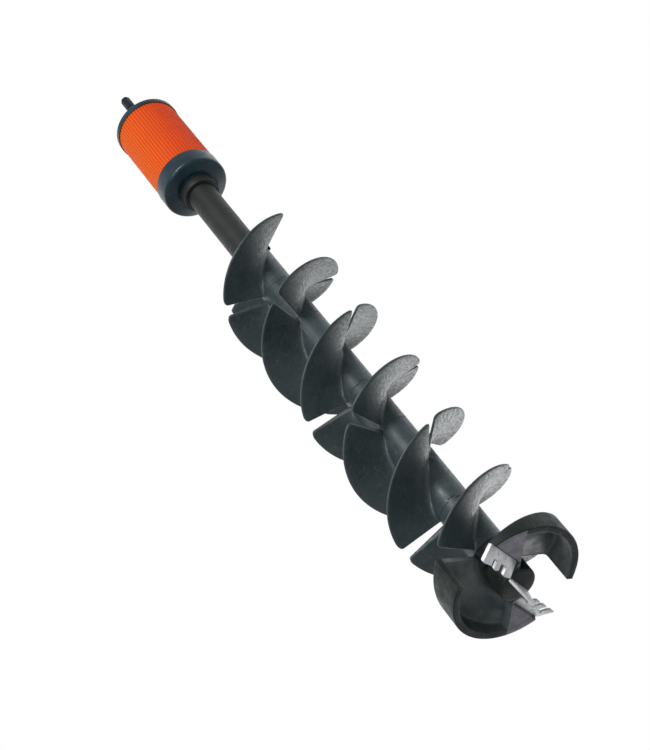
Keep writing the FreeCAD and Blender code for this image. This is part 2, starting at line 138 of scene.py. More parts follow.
def sweep(name, rings, closed_ends=True):
    """A closed skin over a row of rings, each a closed loop with the same number of points."""
    count = len(rings[0])
    points = [p for ring in rings for p in ring]
    faces = []
    for i in range(len(rings) - 1):
        for j in range(count):
            k = (j + 1) % count
            faces.append((i * count + j, i * count + k, (i + 1) * count + k, (i + 1) * count + j))
    if closed_ends:
        last = (len(rings) - 1) * count
        faces.append(tuple(range(count)))
        faces.append(tuple(last + j for j in reversed(range(count))))
    piece = mesh_object(name, points, faces)
    weld(piece)
    shade(piece, SMOOTH_DEG)
    return piece


def turned_ring(name, outline, steps=160, ripple=None):
    """A round piece from a closed outline of (radius, height); ripple may vary the radius."""
    rings = []
    for i in range(steps):
        degrees = 360 * i / steps
        rings.append([polar(r + (ripple(degrees, r, z) if ripple else 0), degrees, z) for r, z in outline])
    rings.append(rings[0])
    return sweep(name, rings, closed_ends=False)


def weld(piece, distance=1e-6):
    """Merge points that lie together, and turn every face outward."""
    work = bmesh.new()
    work.from_mesh(piece.data)
    bmesh.ops.remove_doubles(work, verts=work.verts, dist=distance)
    bmesh.ops.recalc_face_normals(work, faces=work.faces)
    work.to_mesh(piece.data)
    work.free()


def apply_modifiers(piece):
    """Replace the piece's mesh by the one its modifiers make."""
    graph = bpy.context.evaluated_depsgraph_get()
    made = bpy.data.meshes.new_from_object(piece.evaluated_get(graph))
    piece.modifiers.clear()
    piece.data = made


def combine(piece, others, operation, smooth_below=SMOOTH_DEG):
    """Join or cut the piece with others, which are then removed."""
    for other in others:
        step = piece.modifiers.new("step", "BOOLEAN")
        step.operation = operation
        step.solver = "EXACT"
        step.object = other
        bpy.context.view_layer.update()
        apply_modifiers(piece)
        bpy.data.objects.remove(other)
    weld(piece)
    shade(piece, smooth_below)
    return piece


def round_edges(piece, width, segments=3, angle=32):
    """Round every edge that is sharper than an angle in degrees."""
    step = piece.modifiers.new("edges", "BEVEL")
    step.width = width
    step.segments = segments
    step.limit_method = "ANGLE"
    step.angle_limit = math.radians(angle)
    step.harden_normals = False
    bpy.context.view_layer.update()
    apply_modifiers(piece)
    shade(piece, ROUNDED_SMOOTH_DEG)
    return piece


NEARLY_STRAIGHT = 0.01      # radians


def fillet_points(corner, before, after, radius, steps=5):
    """Points of a round corner, in the plane of (radius, height), between two neighbours."""
    corner, before, after = Vector(corner), Vector(before), Vector(after)
    a = (before - corner).normalized()
    b = (after - corner).normalized()
    half = a.angle(b) / 2
    if math.pi / 2 - half < NEARLY_STRAIGHT:
        return [(corner.x, corner.y)] * (steps + 1)
    reach = radius / math.tan(half)
    centre = corner + (a + b).normalized() * (radius / math.sin(half))
    start, end = corner + a * reach - centre, corner + b * reach - centre
    turn = start.angle_signed(end)
    made = []
    for i in range(steps + 1):
        t = turn * i / steps
        made.append(centre + Vector((start.x * math.cos(t) + start.y * math.sin(t),
                                     -start.x * math.sin(t) + start.y * math.cos(t))))
    return [(p.x, p.y) for p in made]


def rounded_outline(corners):
    """A closed outline from (radius, height, corner radius) corners."""
    made = []
    for i, (r, z, fillet) in enumerate(corners):
        before, after = corners[i - 1][:2], corners[(i + 1) % len(corners)][:2]
        made += fillet_points((r, z), before, after, fillet) if fillet else [(r, z)]
    return made


# ---------------------------------------------------------------- flight modules

ROOT_FILLET = 0.0055
FLIGHT_ROOT_T = 0.006
FLIGHT_TIP_T = 0.003
END_ROUND = 0.0013
END_FLAT = 0.2              # share of the thickness that is left at a flight's very end
CORNER_ROUND = 0.005
ROOT_SINK = 0.0012          # how far a flight's root runs into its sleeve
ROOT_STEPS = (0, 0.04, 0.15, 0.35, 0.65, 1.0)     # where the root fillet has points, as shares of it
RADIAL_STEPS = 12
TIP_STEPS = 6
ARC_SHARE = 0.62            # radius at which distances along a flight are measured, as a share
END_STEPS = (0.0, 0.00012, 0.0004, 0.0008, 0.0014, 0.0022, 0.0035, 0.0052, 0.008)
MIDDLE_STEPS = 64
SLEEVE_STEP_DEG = 3
DOG_EDGE_DEG = 0.4          # width of the steep side of a driving dog
SLEEVE_CHAMFER = 0.0005
SLEEVE_GAP = 0.00012


def quarter_round(distance, radius):
    """How much of a rounded edge's height is reached at a distance from the edge, 0 to 1."""
    if distance >= radius:
        return 1.0
    return math.sqrt(max(0.0, 1 - (1 - distance / radius) ** 2))


def flight_section(from_end):
    """Closed (radius, offset) outline of a flight, at an arc distance from its nearer end."""
    outer = FLIGHT_R - CORNER_ROUND * (1 - quarter_round(from_end, CORNER_ROUND))
    flat = END_FLAT + (1 - END_FLAT) * quarter_round(from_end, END_ROUND)
    fillet = min(ROOT_FILLET, 0.0004 + 0.35 * from_end)
    rim = FLIGHT_TIP_T / 2
    radii = [SLEEVE_R - ROOT_SINK] + [SLEEVE_R + fillet * share for share in ROOT_STEPS]
    span = outer - rim - radii[-1]
    radii += [radii[-1] + span * i / RADIAL_STEPS for i in range(1, RADIAL_STEPS + 1)]
    upper = []
    for r in radii:
        along = (r - SLEEVE_R) / (FLIGHT_R - SLEEVE_R)
        half = (FLIGHT_ROOT_T + (FLIGHT_TIP_T - FLIGHT_ROOT_T) * max(0.0, along)) / 2
        near = min(1.0, max(0.0, (r - SLEEVE_R) / fillet))
        swell = fillet * (1 - math.sqrt(max(0.0, 1 - (1 - near) ** 2)))
        upper.append((r, (half + swell) * flat))
    top = upper[-1][1]
    tip = [(outer - rim + rim * math.sin(a), top * math.cos(a)) for a in
           (math.pi * i / TIP_STEPS for i in range(1, TIP_STEPS))]
    lower = [(r, -h) for r, h in reversed(upper)]
    return upper + tip + lower


def flight_stations():
    """Angles from a flight's start, close together at both ends, and the arc that a degree makes."""
    per_degree = math.radians(1) * FLIGHT_R * ARC_SHARE
    near = [distance / per_degree for distance in END_STEPS]
    inner = FLIGHT_SPAN - 2 * near[-1]
    middle = [near[-1] + inner * i / MIDDLE_STEPS for i in range(1, MIDDLE_STEPS)]
    return near + middle + [FLIGHT_SPAN - a for a in reversed(near)], per_degree


def flight(name, start):
    """One flight of the top module, from the angle where it begins."""
    stations, per_degree = flight_stations()
    rings = []
    for angle in stations:
        section = flight_section(min(angle, FLIGHT_SPAN - angle) * per_degree)
        height = FLIGHT_START_Z - FLIGHT_FALL * angle
        rings.append([polar(r, start - angle, height + h) for r, h in section])
    return sweep(name, rings)


def sleeve(name, bottom, top, dog_bottom, dog_top):
    """A sleeve whose ends step where the driving dogs are, with a fine chamfer at each end."""
    half_dog = math.degrees(DOG_WIDTH / 2 / SLEEVE_R)
    half_edge = DOG_EDGE_DEG / 2

    def lift(degrees, centre):
        off = abs((degrees - centre + 90) % 180 - 90)
        return 0.0 if off > half_dog + half_edge else DOG_HEIGHT

    marks = set(range(0, 360, SLEEVE_STEP_DEG))
    for centre in (dog_bottom, dog_top):
        for side in (-1, 1):
            for opposite in (0, 180):
                middle = centre + opposite + side * (half_dog + half_edge)
                marks |= {(middle - half_edge) % 360, (middle + half_edge) % 360}
    inset = SLEEVE_R - SLEEVE_CHAMFER
    rings = []
    for degrees in sorted(marks):
        low = bottom + SLEEVE_GAP + lift(degrees, dog_bottom)
        high = top - SLEEVE_GAP + lift(degrees, dog_top)
        outline = [(BORE_R, low), (inset, low), (SLEEVE_R, low + SLEEVE_CHAMFER),
                   (SLEEVE_R, high - SLEEVE_CHAMFER), (inset, high), (BORE_R, high)]
        rings.append([polar(r, degrees, z) for r, z in outline])
    rings.append(rings[0])
    return sweep(name, rings, closed_ends=False)


def flight_modules():
    """The eight modules: the top one, and copies of it turned and lowered."""
    bottom = STACK_TOP - MODULE_H
    first = sleeve("flight_module_1_body", bottom, STACK_TOP, DOG_DEG - MODULE_PITCH, DOG_DEG)
    wings = [flight("flight_%d" % side, TOP_START_DEG + side) for side in (0, 180)]
    combine(first, wings, "UNION")
    made = [first]
    for index in range(1, MODULE_COUNT):
        copy = first.copy()
        copy.data = first.data.copy()
        copy.name = "flight_module_%d_body" % (index + 1)
        copy.data.transform(Matrix.Translation((0, 0, -MODULE_H * index))
                            @ Matrix.Rotation(math.radians(-MODULE_PITCH * index), 4, "Z"))
        bpy.context.scene.collection.objects.link(copy)
        made.append(copy)
    return made


# ---------------------------------------------------------------- cutting head

HEAD_R = 0.0746
RIM_Z = 0.034
HUB_BOTTOM = 0.031
SKIRT_T = 0.008
ARM_T = 0.0055
ARM_FALL = ARM_DROP / 360
ARM_TOP_Z = STACK_BOTTOM - 0.0037
HEEL_DEG = 30.0
SEAT = (0.0135, 0.028)
SEAT_T = 0.007
SEAT_REACH_DEG = 6.0
TOOTH_TIP_Z = 0.028
BLADE_T = 0.004
BLADE_INNER_R = 0.022
BLADE_BACK = 0.0208
BLADE_BACK_R = 0.0738
CUT_R = 0.0762
TIP_FLAT = 0.002
TOOTH_RELIEF = 0.0012
SCREWS = ((0.0163, 0.0428), (0.0163, 0.0568))
HEAD_BOLT_Z = 0.066
HEAD_BOLT_DEG = 60.0
POINT_T = 0.004
SOCKET_END = 0.052          # where the tube's socket in the hub begins
HUB_SINK = 0.0015           # how far an arm's root runs into the hub
HAIR = 0.0001               # keeps neighbouring surfaces apart
ARM_EDGE = 0.0013           # rounding of the skirt's rim
ARM_SHOULDER = 0.0024       # rounding of the arm's upper outer edge
ARM_INSIDE = 0.004          # rounding where web and skirt meet inside
HUB_FILLET = 0.003
HUB_FLARE = 0.0035
ARM_END_STEPS = (0.0, 0.15, 0.45, 0.9, 1.6, 2.6)       # degrees
HEEL_STEPS = (-1, -0.8, -0.5, 0, 0.5, 0.8, 1)          # degrees
ARM_STEPS = 72
SCREW_HOLE_R = 0.00187
SCREW_DEPTH = 0.0071
POINT_SLOT = ((0.01862, 0.0331), (0.01208, 0.0482))    # half width and top of plate and tang
POINT_PLAY = 0.00007
HUB_STEPS = 120
EDGE_ANGLE = 35


def arm_section(top, ends, fill):
    """Closed outline of an arm: a web from the hub, a round shoulder and a skirt to the rim. Where
    fill is 1 it is solid down to the rim."""
    low = (top - ARM_T) * (1 - fill) + (RIM_Z + 0.00004) * fill
    inner = HEAD_R - SKIRT_T
    root = SLEEVE_R - HUB_SINK
    small = ARM_EDGE * ends + HAIR
    skirt = low - RIM_Z
    inside = min(ARM_INSIDE, skirt * 0.45)
    foot = min(small, skirt * 0.4)
    flare = HUB_FLARE * ends
    under = low - flare * (1 - 0.6 * fill)
    return rounded_outline([
        (root, top + flare, 0), (SLEEVE_R + HAIR, top + flare, 0), (SLEEVE_R + 0.0045, top, HUB_FILLET),
        (HEAD_R, top, ARM_SHOULDER * ends + 2 * HAIR), (HEAD_R, RIM_Z, small), (inner, RIM_Z, foot),
        (inner, low, inside), (SLEEVE_R + 0.005, low, HUB_FILLET), (SLEEVE_R + HAIR, under, 0),
        (root, under, 0)])


def arm_stations():
    """Angles down an arm, closer at its ends and where the solid end begins, with the fill there,
    and the angle over which its ends are rounded."""
    span = ARM_START_DEG - ARM_END_DEG
    rounding = ARM_END_STEPS[-1]
    step = span - HEEL_DEG
    middle = [rounding + (span - 2 * rounding) * i / ARM_STEPS for i in range(1, ARM_STEPS)]
    middle = [a for a in middle if abs(a - step) > 1.3] + [step + d for d in HEEL_STEPS]
    angles = list(ARM_END_STEPS) + sorted(middle) + [span - a for a in reversed(ARM_END_STEPS)]
    fills = [0.5 + 0.5 * math.sin(math.pi / 2 * max(-1.0, min(1.0, a - step))) for a in angles]
    return angles, fills, rounding


def head_arm():
    """An arm before its seat and cuts: a skin over its sections from the upper to the cutting end."""
    angles, fills, rounding = arm_stations()
    rings = []
    for angle, fill in zip(angles, fills):
        ends = quarter_round(min(angle, angles[-1] - angle), rounding)
        top = ARM_TOP_Z - angle * ARM_FALL
        section = arm_section(top - 4 * HAIR * (1 - ends), ends, fill)
        rings.append([polar(r, ARM_START_DEG - angle, z) for r, z in section])
    return sweep("arm", rings)


def blade_matrix(turn):
    """From the blade's own frame (X behind the tips, -Y outward) to the auger's."""
    return (Matrix.Rotation(math.radians(BLADE_DEG + 90 + turn), 4, "Z")
            @ Matrix.Translation((0, 0, TOOTH_TIP_Z))
            @ Matrix.Rotation(math.radians(-BLADE_TILT), 4, "Y"))


def slab(name, outline, low, high, matrix, edge=0.0):
    """A plate from an outline in the blade's frame."""
    count = len(outline)
    points = [matrix @ Vector((x, -r, z)) for z in (low, high) for x, r in outline]
    faces = [tuple(range(count)), tuple(count + i for i in reversed(range(count)))]
    faces += [(i, (i + 1) % count, count + (i + 1) % count, count + i) for i in range(count)]
    piece = mesh_object(name, points, faces)
    return round_edges(piece, edge) if edge else piece


def peg(name, radius, start, end, segments=40):
    """A plain round bar used as a cutter."""
    axis = (end - start).normalized()
    side = axis.orthogonal().normalized()
    other = axis.cross(side)
    rings = []
    for centre in (start, end):
        rings.append([centre + (side * math.cos(a) + other * math.sin(a)) * radius for a in
                      (2 * math.pi * i / segments for i in range(segments))])
    return sweep(name, rings)


def blade_seat():
    """The flat boss above a blade, kept below the arm's top."""
    front, back = SEAT
    outline = [(back, BLADE_INNER_R), (front, BLADE_INNER_R), (front, HEAD_R), (back, HEAD_R)]
    block = slab("seat", outline, BLADE_T - 0.0004, BLADE_T + SEAT_T, blade_matrix(0), 0.0015)
    inner, outer, under = SLEEVE_R - HUB_SINK, HEAD_R - 0.0011, 0.0012
    stations = arm_stations()[0]
    rings = []
    for angle in stations[:-1] + [stations[-1] + SEAT_REACH_DEG]:
        top = ARM_TOP_Z - angle * ARM_FALL - under
        corners = ((inner, RIM_Z + 3 * HAIR), (outer, RIM_Z + 3 * HAIR), (outer, top), (inner, top))
        rings.append([polar(r, ARM_START_DEG - angle, z) for r, z in corners])
    return combine(block, [sweep("below", rings)], "INTERSECT")


def finished_arm():
    """One arm with its blade seat, cut for the blade and its screws."""
    arm = combine(head_arm(), [blade_seat()], "UNION")
    place = blade_matrix(0)
    removed = [mesh_object("pocket", *box_mesh(
        (-0.014, -0.0782, -0.014), (BLADE_BACK + 0.00012, -SLEEVE_R - 0.0002, BLADE_T + 0.00006), place))]
    for x, r in SCREWS:
        removed.append(peg("screw_hole", SCREW_HOLE_R, place @ Vector((x, -r, 0)),
                           place @ Vector((x, -r, SCREW_DEPTH))))
    return combine(arm, removed, "DIFFERENCE")


def cutting_head():
    """The casting: hub and arms as one body, cut for the centre point and the bolt."""
    centre, joint = 0.0024, STACK_BOTTOM - HAIR
    hub = turned_ring("cutting_head_body", rounded_outline([
        (centre, HUB_BOTTOM, 0), (SLEEVE_R, HUB_BOTTOM, HUB_FILLET), (SLEEVE_R, joint, SLEEVE_CHAMFER),
        (BORE_R, joint, 0), (BORE_R, SOCKET_END, 0), (centre, SOCKET_END, 0)]), steps=HUB_STEPS)
    arms = [finished_arm(), finished_arm()]
    arms[1].data.transform(Matrix.Rotation(math.pi, 4, "Z"))
    combine(hub, arms, "UNION")
    across = Matrix.Rotation(math.radians(BLADE_DEG), 4, "Z")
    thick = POINT_T / 2 + POINT_PLAY
    removed = []
    for half, top in POINT_SLOT:
        removed.append(mesh_object("slot", *box_mesh((-half, -thick, 0.02), (half, thick, top), across)))
    middle, along = Vector((0, 0, HEAD_BOLT_Z)), polar(0.03, HEAD_BOLT_DEG, 0)
    removed.append(peg("bolt_hole", 0.0031, middle - along, middle + along))
    return combine(hub, removed, "DIFFERENCE")


def tooth_outline(teeth, depth, slant):
    """Outline of a blade in its own frame: distance behind the tips against radius."""
    outline = [(BLADE_BACK, BLADE_INNER_R)]
    if teeth[0][0] > BLADE_INNER_R:
        outline.append((depth, BLADE_INNER_R))
    for inner, outer in teeth:
        outline += [(depth, inner), (slant, inner), (0.0, outer - TIP_FLAT), (TIP_FLAT / 2, outer),
                    (depth, outer - TOOTH_RELIEF)]
    return outline + [(BLADE_BACK, BLADE_BACK_R)]


def blade(name, teeth, depth, slant, turn):
    """A chipper blade with a ground bevel under its teeth and countersunk holes."""
    plate = slab(name, tooth_outline(teeth, depth, slant), 0.0, BLADE_T, Matrix.Identity(4))
    slope = Matrix.Rotation(math.radians(EDGE_ANGLE), 4, "Y")
    removed = [mesh_object("edge", *box_mesh((-0.008, -0.09, 0), (0, 0.0, 0.008), slope))]
    sink = ((0.00346, -0.0003), (0.00182, 0.00134))
    past = Vector((0, 0, 0.001))
    for x, radius in SCREWS:
        under, over = Vector((x, -radius, 0)), Vector((x, -radius, BLADE_T))
        removed.append(peg("hole", 0.00186, under - past, over + past))
        removed.append(cone("sink", sink, under))
    combine(plate, removed, "DIFFERENCE", smooth_below=BLADE_SMOOTH_DEG)
    round_edges(plate, 0.0003, segments=2, angle=BLADE_SMOOTH_DEG)
    plate.data.transform(blade_matrix(turn))
    return plate


def cone(name, ends, place, segments=40):
    """A cone along Z between two (radius, height) ends, used as a cutter."""
    rings = []
    for radius, height in ends:
        rings.append([place + Vector((radius * math.cos(a), radius * math.sin(a), height)) for a in
                      (2 * math.pi * i / segments for i in range(segments))])
    return sweep(name, rings)


def box_mesh(low, high, matrix=Matrix.Identity(4)):
    """Points and faces of a block between two corners, placed by a matrix."""
    xs, ys, zs = zip(low, high)
    points = [matrix @ Vector((x, y, z)) for x in xs for y in ys for z in zs]
    faces = [(0, 1, 3, 2), (4, 6, 7, 5), (0, 4, 5, 1), (2, 3, 7, 6), (0, 2, 6, 4), (1, 5, 7, 3)]
    return points, faces


# ---------------------------------------------------------------- materials

def node(tree, kind, **settings):
    """A new shader node; each setting is an input of it or, failing that, a property."""
    made = tree.nodes.new(kind)
    for key, value in settings.items():
        if key in made.inputs:
            made.inputs[key].default_value = value
        else:
            setattr(made, key, value)
    return made


def map_range(tree, value, ends):
    """A value carried from one pair of ends to another."""
    made = node(tree, "ShaderNodeMapRange")
    for socket, end in zip(made.inputs[1:5], ends):
        socket.default_value = end
    tree.links.new(value, made.inputs[0])
    return made.outputs[0]


class Finish:
    """A procedural material: a shader whose colour, roughness and bump come from noise layers."""

    def __init__(self, name, roughness, metallic=0.0, specular=0.5):
        self.material = bpy.data.materials.new(name)
        self.material.use_nodes = True
        self.tree = self.material.node_tree
        self.shader = self.tree.nodes["Principled BSDF"]
        self.shader.inputs["Metallic"].default_value = metallic
        self.shader.inputs["Roughness"].default_value = roughness
        self.shader.inputs["Specular IOR Level"].default_value = specular
        self.shader.inputs["IOR"].default_value = 1.5
        self.place = node(self.tree, "ShaderNodeTexCoord")
        self.height = None

    def link(self, output, target):
        self.tree.links.new(output, target)

    def noise(self, scale, detail=4.0, rough=0.55, stretch=(1, 1, 1)):
        """A noise value over the piece, in waves per metre, stretched along the axes."""
        mapping = node(self.tree, "ShaderNodeMapping")
        mapping.inputs["Scale"].default_value = stretch
        self.link(self.place.outputs["Object"], mapping.inputs["Vector"])
        made = node(self.tree, "ShaderNodeTexNoise", Scale=scale, Detail=detail, Roughness=rough)
        self.link(mapping.outputs["Vector"], made.inputs["Vector"])
        return made.outputs["Fac"]

    def ramp(self, value, low, high, at=(0.35, 0.65)):
        """Map a value to a colour or grey between two ends."""
        made = node(self.tree, "ShaderNodeValToRGB")
        made.color_ramp.elements[0].position, made.color_ramp.elements[1].position = at
        made.color_ramp.elements[0].color = low if len(low) == 4 else (*low, 1)
        made.color_ramp.elements[1].color = high if len(high) == 4 else (*high, 1)
        self.link(value, made.inputs["Fac"])
        return made.outputs["Color"]

    def grey(self, value, low, high, at=(0.35, 0.65)):
        return self.ramp(value, (low, low, low), (high, high, high), at)

    def by_radius(self, near, far, inside, outside):
        """A value that goes from one level to another between two distances from the auger's axis."""
        flat = node(self.tree, "ShaderNodeVectorMath", operation="MULTIPLY")
        flat.inputs[1].default_value = (1, 1, 0)
        self.link(self.place.outputs["Object"], flat.inputs[0])
        across = node(self.tree, "ShaderNodeVectorMath", operation="LENGTH")
        self.link(flat.outputs[0], across.inputs[0])
        return map_range(self.tree, across.outputs["Value"], (near, far, inside, outside))

    def mix(self, factor, first, second):
        """The first colour, or where the factor is 1 the second."""
        made = node(self.tree, "ShaderNodeMix", data_type="RGBA")
        for value, socket in ((factor, made.inputs[0]), (first, made.inputs[6]), (second, made.inputs[7])):
            if isinstance(value, bpy.types.NodeSocket):
                self.link(value, socket)
            else:
                socket.default_value = value if isinstance(value, float) else (*value, 1)
        return made.outputs[2]

    def colour(self, output):
        self.link(output, self.shader.inputs["Base Color"])
        return self

    def roughness(self, output):
        self.link(output, self.shader.inputs["Roughness"])
        return self

    def bump(self, output, distance, strength):
        """Fine relief, added to what is already there."""
        made = node(self.tree, "ShaderNodeBump", Strength=strength, Distance=distance)
        self.link(output, made.inputs["Height"])
        if self.height is not None:
            self.link(self.height, made.inputs["Normal"])
        self.height = made.outputs["Normal"]
        self.link(self.height, self.shader.inputs["Normal"])
        return self


def composite():
    """Dark moulded composite: teal-grey black, cloudy, with scuffs and a fine moulded grain."""
    made = Finish("composite", 0.42)
    cloud = made.noise(26, 5, 0.6)
    base = made.ramp(cloud, (0.012, 0.021, 0.024), (0.030, 0.043, 0.047), (0.3, 0.7))
    scuffs = made.noise(190, 6, 0.72, (1, 1, 0.5))
    worn = made.mix(made.grey(scuffs, 0.0, 0.6, (0.56, 0.76)), base, (0.080, 0.095, 0.100))
    made.colour(worn)
    made.roughness(made.grey(made.noise(300, 7, 0.72), 0.30, 0.60, (0.38, 0.62)))
    made.bump(made.noise(700, 4, 0.6), 0.00011, 0.32)
    return made.bump(made.noise(60, 4), 0.0008, 0.3).material


def cast_metal():
    """Dark coated casting with a sand-cast skin and random rubbed scuffs, with painted light making it
    lighter inside the skirt.
    """
    made = Finish("cast_metal", 0.55, specular=0.2)
    base = made.ramp(made.noise(34, 5, 0.6), (0.004, 0.007, 0.006), (0.011, 0.016, 0.014), (0.3, 0.7))
    # Painted light: between the hub and the skirt's inner wall the arms are painted lighter, standing in for
    # light on their undersides; the hub, rim and outer wall keep the dark base.
    inner = made.ramp(made.noise(22, 5, 0.6), (0.030, 0.040, 0.043), (0.110, 0.122, 0.125), (0.35, 0.65))
    coat = made.mix(made.by_radius(0.0655, 0.0680, 1.0, 0.0), base, inner)
    coat = made.mix(made.by_radius(0.0225, 0.0300, 1.0, 0.0), coat, base)
    rubbed = made.grey(made.noise(130, 7, 0.72), 0.0, 0.6, (0.57, 0.76))
    made.colour(made.mix(rubbed, coat, (0.055, 0.060, 0.058)))
    made.roughness(made.grey(made.noise(80, 5), 0.42, 0.66))
    made.bump(made.noise(900, 4), 0.00018, 0.6)
    return made.bump(made.noise(120, 4), 0.0006, 0.35).material


def milled_flat():
    """The milled flats of the casting, bare and dull, with faint cutter marks."""
    made = Finish("milled_flat", 0.5, metallic=0.5)
    base = made.ramp(made.noise(110, 6, 0.7), (0.085, 0.080, 0.098), (0.165, 0.155, 0.180))
    made.colour(base)
    made.roughness(made.grey(made.noise(90, 5, 0.6, (1, 12, 1)), 0.42, 0.62))
    return made.bump(made.noise(240, 4, 0.6, (1, 9, 1)), 0.00009, 0.6).material


def satin_coat():
    """Satin black coat on the tube, with fine rings of rubbing and a few long scratches."""
    made = Finish("satin_coat", 0.55, specular=0.3)
    base = made.ramp(made.noise(30, 5, 0.6), (0.006, 0.0075, 0.0075), (0.013, 0.0145, 0.014))
    rings = made.grey(made.noise(40, 6, 0.75, (1, 1, 14)), 0.0, 0.4, (0.6, 0.8))
    scratched = made.mix(rings, base, (0.050, 0.052, 0.050))
    lines = made.grey(made.noise(60, 5, 0.7, (9, 9, 0.6)), 0.0, 0.5, (0.66, 0.76))
    made.colour(made.mix(lines, scratched, (0.070, 0.070, 0.066)))
    made.roughness(made.grey(made.noise(60, 5, 0.6, (1, 1, 4)), 0.46, 0.62))
    return made.bump(made.noise(1800, 3), 0.00006, 0.4).material


def orange_shell():
    """Orange moulded plastic, painted lighter and yellower on the -X side as painted light, with painted
    shade in the grooves.
    """
    made = Finish("orange_shell", 0.62, specular=0.12)
    # Painted light: lighter and yellower towards -X, redder towards +X, as if lit from the -X side.
    parts = node(made.tree, "ShaderNodeSeparateXYZ")
    made.link(made.place.outputs["Object"], parts.inputs[0])
    side = map_range(made.tree, parts.outputs["X"], (-0.042, 0.042, 0.0, 1.0))
    base = made.ramp(side, (0.58, 0.085, 0.003), (0.48, 0.032, 0.004), (0.1, 0.9))
    cloud = made.mix(made.grey(made.noise(24, 4), 0.0, 0.35), base, (0.62, 0.075, 0.004))
    # Painted shade: the bottoms of the rib grooves are darkened.
    depth = made.by_radius(0.0412, 0.0417, 0.7, 0.0)
    made.colour(made.mix(depth, cloud, (0.24, 0.020, 0.006)))
    made.roughness(made.grey(made.noise(70, 5), 0.56, 0.70))
    return made.bump(made.noise(500, 3), 0.00004, 0.2).material


def black_plastic():
    """Blue-black moulded plastic with a half gloss and light scuffs."""
    made = Finish("black_plastic", 0.36, specular=0.3)
    base = made.ramp(made.noise(35, 5, 0.6), (0.002, 0.010, 0.015), (0.008, 0.026, 0.036))
    scuffs = made.grey(made.noise(170, 6, 0.7), 0.0, 0.5, (0.58, 0.78))
    made.colour(made.mix(scuffs, base, (0.050, 0.070, 0.080)))
    made.roughness(made.grey(made.noise(80, 5), 0.28, 0.46))
    return made.bump(made.noise(2400, 2), 0.00005, 0.4).material


def black_oxide():
    """Oiled black oxide on steel, blue-black and a little worn."""
    made = Finish("black_oxide", 0.6, specular=0.12)
    base = made.ramp(made.noise(90, 6, 0.7), (0.003, 0.006, 0.010), (0.008, 0.013, 0.020))
    worn = made.grey(made.noise(260, 6, 0.75, (1, 1, 0.4)), 0.0, 0.35, (0.62, 0.8))
    made.colour(made.mix(worn, base, (0.030, 0.034, 0.040)))
    made.roughness(made.grey(made.noise(120, 5), 0.5, 0.68))
    return made.bump(made.noise(700, 4, 0.6, (1, 1, 6)), 0.00004, 0.5).material


def steel(name, tone, roughness, grain=(1, 1, 30), metallic=1.0):
    """Machined steel with fine tool marks across it."""
    made = Finish(name, roughness, metallic=metallic)
    low = tuple(tone * c for c in (0.72, 0.73, 0.75))
    made.colour(made.ramp(made.noise(90, 6, 0.7), low, (tone, tone, tone)))
    made.roughness(made.grey(made.noise(90, 6, 0.6, grain), roughness * 0.75, min(1.0, roughness * 1.3)))
    return made.bump(made.noise(220, 5, 0.6, grain), 0.00004, 0.5).material


def nylon():
    """Off-white machined nylon."""
    made = Finish("nylon", 0.45)
    made.colour(made.ramp(made.noise(60, 4), (0.62, 0.61, 0.56), (0.74, 0.73, 0.68)))
    made.roughness(made.grey(made.noise(120, 4), 0.4, 0.55))
    return made.bump(made.noise(900, 3), 0.00006, 0.4).material


def foam():
    """Grey closed-cell foam with a rough skin."""
    made = Finish("foam", 0.9)
    made.colour(made.ramp(made.noise(500, 5), (0.14, 0.14, 0.145), (0.24, 0.24, 0.25)))
    return made.bump(made.noise(900, 5), 0.0004, 0.8).material


COMPOSITE = composite()
CAST = cast_metal()
COAT = satin_coat()
ORANGE = orange_shell()
BLACK = black_plastic()
BRIGHT = steel("bright_steel", 0.62, 0.28)
DARK = black_oxide()
GROUND = steel("ground_steel", 0.66, 0.52, (1, 30, 1), 0.6)
FLAT = milled_flat()
ALUMINIUM = steel("turned_aluminium", 0.55, 0.35)
NYLON = nylon()
FOAM = foam()


def paint(piece, material):
    """Give the whole piece one material."""
    piece.data.materials.clear()
    piece.data.materials.append(material)
    return piece


def stands_for(piece, node_name, body, material):
    """A new piece takes the place of a CAD node."""
    paint(piece, material)
    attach(piece, body)
    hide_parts(node_name)


PART_EDGE = 0.0004


def softened(node_name):
    """A copy of a CAD node with its edges rounded, for small machined parts."""
    piece = NODES[node_name].copy()
    piece.data = NODES[node_name].data.copy()
    piece.name = node_name + "_edged"
    bpy.context.scene.collection.objects.link(piece)
    weld(piece, 2e-6)
    work = bmesh.new()
    work.from_mesh(piece.data)
    bmesh.ops.dissolve_limit(work, angle_limit=math.radians(1.0), verts=work.verts, edges=work.edges)
    work.to_mesh(piece.data)
    work.free()
    return round_edges(piece, PART_EDGE, segments=2, angle=30)


# ---------------------------------------------------------------- float

FLOAT_LIP_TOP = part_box("float_top_cap")[1].z - 0.010
GRIP_COUNT = 60
GRIP_DEPTH = 0.0003
RIB_COUNT = 64
RIB_DEPTH = 0.0005
RIB_STEPS = 16              # points round each rib
RIB_FLANK = 0.42            # share of the wave that a groove takes up
SHELL_WALL = 0.0026
SHELL_STEPS = 12
CAP_STEPS = 720
CAP_FACE_R = 0.0290
CAP_DOME = 0.0035
CAP_BORE_R = 0.022
CAP_HUB_R = 0.026
CAP_INSIDE_R = 0.04185


def cap_outline(node_name, flip):
    """Outline of a float cap: outer wall with a round edge, a domed face and a hub, from its CAD
    box."""
    low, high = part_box(node_name)
    outer = high.x
    face = high.z if flip else low.z
    lip = FLOAT_LIP_TOP if flip else high.z
    way = -1 if flip else 1
    dome = 0.0 if flip else CAP_DOME
    edge = 0.0034 if flip else 0.0045
    small = 0.0003
    return rounded_outline([
        (CAP_BORE_R, face, small), (CAP_FACE_R, face, 0.003), (outer, face + dome, edge),
        (outer, lip, small), (CAP_INSIDE_R, lip, 0.0002), (CAP_INSIDE_R, face + way * 0.006, 0),
        (CAP_HUB_R, face + way * 0.004, 0), (CAP_HUB_R, face + way * 0.016, 0),
        (CAP_BORE_R, face + way * 0.016, 0)])


